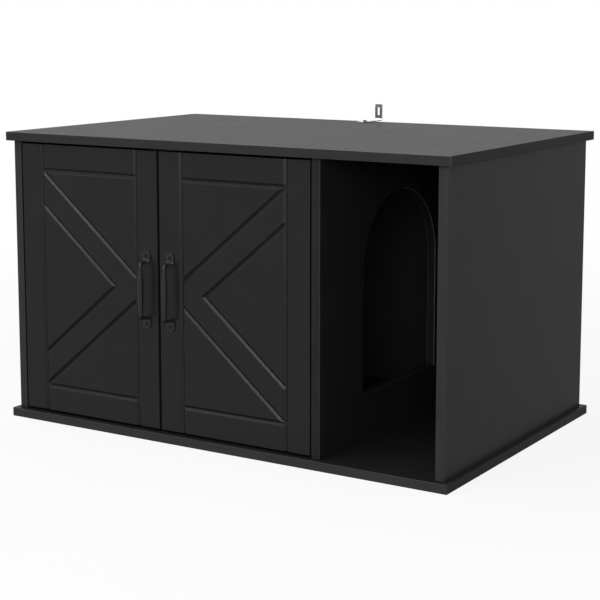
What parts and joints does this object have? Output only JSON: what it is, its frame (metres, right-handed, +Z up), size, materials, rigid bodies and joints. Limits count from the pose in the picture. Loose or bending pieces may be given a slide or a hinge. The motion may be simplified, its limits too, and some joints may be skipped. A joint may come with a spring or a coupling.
{
  "type": "cat house",
  "caption": "Low black cabinet for a cat's litter tray: hinged barn-style doors in front of a chamber, an open vestibule beside it and an arched doorway between them.",
  "frame": {"origin": "centre of the base board's underside, which stands on the floor", "axes": "+X towards the vestibule's side, along the cabinet's width; +Y towards the back, so the doors face -Y; +Z up"},
  "size_m": [0.85, 0.588, 0.531],
  "materials": {
    "black_board": "black melamine film on particle board, fine matt grain",
    "door_film": "black film over routed fibreboard, satin",
    "back_board": "black faced hardboard",
    "black_handle": "black powder coat, satin",
    "black_screw": "black oxide",
    "zinc_bracket": "bright zinc plate",
    "nickel_steel": "nickel plate",
    "cast_zinc": "plain cast zinc",
    "screw_steel": "zinc plated",
    "beech_dowel": "plain fluted beech",
    "black_plastic": "moulded black plastic",
    "magnet": "dull dark grey ferrite"
  },
  "bodies": {
    "cabinet": {"top_panel": "black_board", "base_panel": "black_board", "left_side_panel": "black_board", "right_side_panel": "black_board", "divider_panel": "black_board", "back_panel": "back_board", "anti_tip_bracket": "zinc_bracket", "bracket_screw": "black_screw", "cam_locks": "cast_zinc", "cam_bolts": "screw_steel", "wooden_dowels": "beech_dowel", "base_screws": "screw_steel", "back_panel_screws": "screw_steel", "left_upper_hinge_arm": "nickel_steel", "left_lower_hinge_arm": "nickel_steel", "right_upper_hinge_arm": "nickel_steel", "right_lower_hinge_arm": "nickel_steel", "left_upper_hinge_plate": "nickel_steel", "left_lower_hinge_plate": "nickel_steel", "right_upper_hinge_plate": "nickel_steel", "right_lower_hinge_plate": "nickel_steel", "hinge_plate_screws": "screw_steel", "hinge_arm_screws": "screw_steel", "magnetic_catch": "black_plastic", "catch_magnets": "magnet", "catch_screws": "screw_steel"},
    "left_door": {"left_door_panel": "door_film", "left_handle": "black_handle", "left_handle_screws": "black_screw", "left_upper_hinge_cup": "nickel_steel", "left_lower_hinge_cup": "nickel_steel", "left_hinge_pins": "screw_steel", "left_cup_screws": "screw_steel", "left_strike_plate": "nickel_steel", "left_strike_screw": "screw_steel"},
    "right_door": {"right_door_panel": "door_film", "right_handle": "black_handle", "right_handle_screws": "black_screw", "right_upper_hinge_cup": "nickel_steel", "right_lower_hinge_cup": "nickel_steel", "right_hinge_pins": "screw_steel", "right_cup_screws": "screw_steel", "right_strike_plate": "nickel_steel", "right_strike_screw": "screw_steel"}
  },
  "joints": [
    {"name": "left_door_hinge", "type": "hinge", "parent": "cabinet", "child": "left_door", "pos_m": [-0.387, -0.258, 0.25], "axis": [0, 0, -1], "range_deg": [0, 95]},
    {"name": "right_door_hinge", "type": "hinge", "parent": "cabinet", "child": "right_door", "pos_m": [0.172, -0.258, 0.25], "axis": [0, 0, 1], "range_deg": [0, 95]}
  ]
}
